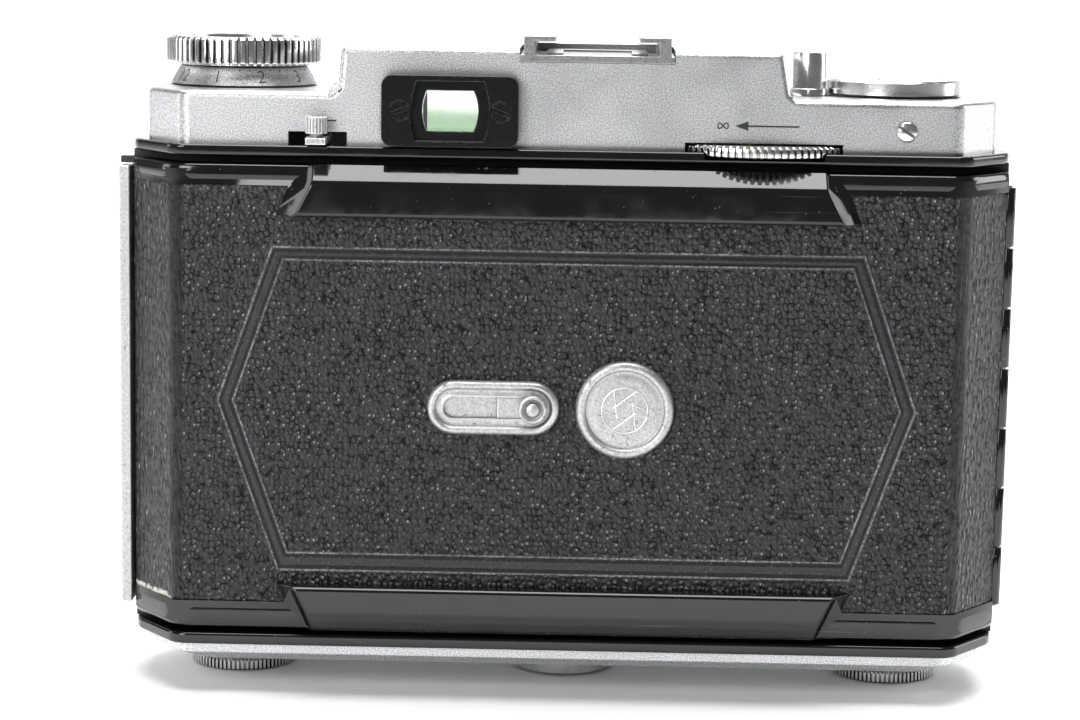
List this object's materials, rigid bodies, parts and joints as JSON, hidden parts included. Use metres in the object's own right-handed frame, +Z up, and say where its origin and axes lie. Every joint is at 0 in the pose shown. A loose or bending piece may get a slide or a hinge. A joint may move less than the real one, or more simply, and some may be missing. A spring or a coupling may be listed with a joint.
{
  "type": "folding camera",
  "caption": "Folding medium-format roll-film rangefinder camera, with hinged back, drop bed, bellows, running-out lens standard and thumb-wheel focusing of the film plane.",
  "frame": {"origin": "mouth of the tripod thread, on the plane that the camera stands on", "axes": "+X to the right seen from behind the camera, +Y towards the lens side, +Z up"},
  "size_m": [0.1386, 0.0495, 0.1022],
  "materials": {
    "cast_black": "satin black paint on a die casting",
    "leather": "pebble-grained black covering",
    "enamel": "glossy black enamel with chipped edges",
    "satin_chrome": "fine-grained satin chrome",
    "bright_chrome": "polished chrome",
    "steel": "brushed steel",
    "worn_aluminium": "worn bright aluminium",
    "black_lacquer": "black lacquer on brass",
    "brass": "machined brass",
    "optical_glass": "coated optical glass",
    "ruby_glass": "ruby glass",
    "spool_red": "painted sheet metal",
    "bellows_cloth": "pleated leather-cloth"
  },
  "bodies": {
    "camera_body": {"body_casting": "cast_black", "front_leather": "leather", "upper_flange": "enamel", "lower_flange": "enamel", "bottom_plate": "satin_chrome", "tripod_socket": "bright_chrome", "tripod_collar": "bright_chrome", "top_housing": "satin_chrome", "accessory_shoe": "steel", "shoe_spring": "steel", "eyepiece_plate": "black_lacquer", "eyepiece_lens": "optical_glass", "eyepiece_screws": "black_lacquer", "housing_screws": "steel", "finder_frame": "black_lacquer", "rangefinder_frame": "black_lacquer", "front_windows": "optical_glass", "beam_splitter": "optical_glass", "release_collar": "bright_chrome", "release_spring": "steel", "body_hinge_leaf": "enamel", "door_hinge_pin": "steel", "bed_hinge_pin": "steel", "bellows": "bellows_cloth"},
    "release": {"release_button": "bright_chrome"},
    "wind": {"wind_knob": "bright_chrome", "wind_shaft": "steel", "take_up_spool": "spool_red"},
    "counter": {"counter_dial": "worn_aluminium"},
    "focus": {"focus_wheel": "worn_aluminium", "focus_cam": "brass"},
    "dial": {"distance_dial": "bright_chrome"},
    "range_arm": {"rangefinder_arm": "brass"},
    "carriage": {"film_carriage": "cast_black", "film_rollers": "steel", "pressure_plate": "black_lacquer"},
    "lock": {"advance_lock_lever": "worn_aluminium"},
    "knob_left": {"spool_knob_left": "bright_chrome"},
    "knob_right": {"spool_knob_right": "bright_chrome"},
    "door": {"back_door": "enamel", "door_leather": "leather", "window_plate": "worn_aluminium", "red_window": "ruby_glass", "door_medallion": "worn_aluminium", "door_hinge_leaf": "enamel"},
    "slider": {"window_slider": "worn_aluminium"},
    "latch": {"latch_plate": "worn_aluminium"},
    "front_bed": {"bed": "cast_black", "bed_leather": "leather"},
    "bed_button": {"bed_release_button": "bright_chrome"},
    "struts": {"strut_left": "steel", "strut_right": "steel"},
    "standard": {"front_standard": "steel", "shutter_housing": "black_lacquer", "lens_barrel": "black_lacquer", "front_element": "optical_glass", "rear_cell": "black_lacquer"},
    "speed": {"speed_ring": "bright_chrome"},
    "aperture": {"aperture_ring": "bright_chrome"},
    "cocking": {"cocking_ring": "bright_chrome"}
  },
  "joints": [
    {"name": "door_hinge", "type": "hinge", "parent": "camera_body", "child": "door", "pos_m": [0.0677, -0.0106, 0.0465], "axis": [0, 0, 1], "range_deg": [0, 105]},
    {"name": "window_slide", "type": "slide", "parent": "door", "child": "slider", "axis": [-1, 0, 0], "range_m": [0, 0.0095]},
    {"name": "latch_slide", "type": "slide", "parent": "camera_body", "child": "latch", "axis": [0, 0, -1], "range_m": [0, 0.003], "stiffness_N_per_m": 500, "springref_m": -0.0012},
    {"name": "bed_hinge", "type": "hinge", "parent": "camera_body", "child": "front_bed", "pos_m": [0, 0.022, 0.0125], "axis": [-1, 0, 0], "range_deg": [0, 90]},
    {"name": "standard_slide", "type": "slide", "parent": "camera_body", "child": "standard", "axis": [0, 1, 0], "range_m": [0, 0.052]},
    {"name": "strut_swing", "type": "hinge", "parent": "camera_body", "child": "struts", "pos_m": [0, 0.017, 0.07], "axis": [1, 0, 0], "range_deg": [0, 77.22]},
    {"name": "wind_turn", "type": "hinge", "parent": "camera_body", "child": "wind", "pos_m": [-0.0518, 0, 0.1], "axis": [0, 0, 1], "continuous": true},
    {"name": "counter_turn", "type": "hinge", "parent": "camera_body", "child": "counter", "pos_m": [-0.0518, 0, 0.0948], "axis": [0, 0, 1], "continuous": true},
    {"name": "focus_turn", "type": "hinge", "parent": "camera_body", "child": "focus", "pos_m": [0.0293, -0.0083, 0.0854], "axis": [0, 0, 1], "range_deg": [0, 110]},
    {"name": "dial_turn", "type": "hinge", "parent": "camera_body", "child": "dial", "pos_m": [0.0501, -0.0024, 0.0947], "axis": [0, 0, 1], "range_deg": [-300.2, 0]},
    {"name": "carriage_slide", "type": "slide", "parent": "camera_body", "child": "carriage", "axis": [0, -1, 0], "range_m": [0, 0.0045]},
    {"name": "rangefinder_swing", "type": "hinge", "parent": "camera_body", "child": "range_arm", "pos_m": [0.0165, 0.0058, 0.09], "axis": [0, 0, -1], "range_deg": [0, 2.5]},
    {"name": "release_press", "type": "slide", "parent": "camera_body", "child": "release", "axis": [0, 0, -1], "range_m": [0, 0.003], "stiffness_N_per_m": 300, "springref_m": -0.001, "deforming": ["release_spring"]},
    {"name": "lock_slide", "type": "slide", "parent": "camera_body", "child": "lock", "axis": [1, 0, 0], "range_m": [-0.0025, 0.0025]},
    {"name": "spool_left_pull", "type": "slide", "parent": "camera_body", "child": "knob_left", "axis": [0, 0, -1], "range_m": [0, 0.006]},
    {"name": "spool_right_pull", "type": "slide", "parent": "camera_body", "child": "knob_right", "axis": [0, 0, -1], "range_m": [0, 0.006]},
    {"name": "bed_button_press", "type": "slide", "parent": "camera_body", "child": "bed_button", "axis": [0, -1, 0], "range_m": [0, 0.0015], "stiffness_N_per_m": 300, "springref_m": -0.001},
    {"name": "speed_turn", "type": "hinge", "parent": "standard", "child": "speed", "pos_m": [0, 0.008, 0.0465], "axis": [0, 1, 0], "range_deg": [-60, 60]},
    {"name": "aperture_move", "type": "hinge", "parent": "standard", "child": "aperture", "pos_m": [0, 0.001, 0.0465], "axis": [0, -1, 0], "range_deg": [0, 50]},
    {"name": "cocking_move", "type": "hinge", "parent": "standard", "child": "cocking", "pos_m": [0, 0.004, 0.0465], "axis": [0, 1, 0], "range_deg": [0, 45]}
  ],
  "couplings": [
    {"joint": "standard_slide", "follows": "bed_hinge", "m_per_rad": 0.0331},
    {"joint": "strut_swing", "follows": "bed_hinge", "ratio": 0.85743},
    {"joint": "counter_turn", "follows": "wind_turn", "ratio": -0.08},
    {"joint": "focus_turn", "follows": "carriage_slide", "rad_per_m": 426.6},
    {"joint": "dial_turn", "follows": "carriage_slide", "rad_per_m": -1163.5},
    {"joint": "rangefinder_swing", "follows": "carriage_slide", "rad_per_m": 9.684}
  ]
}
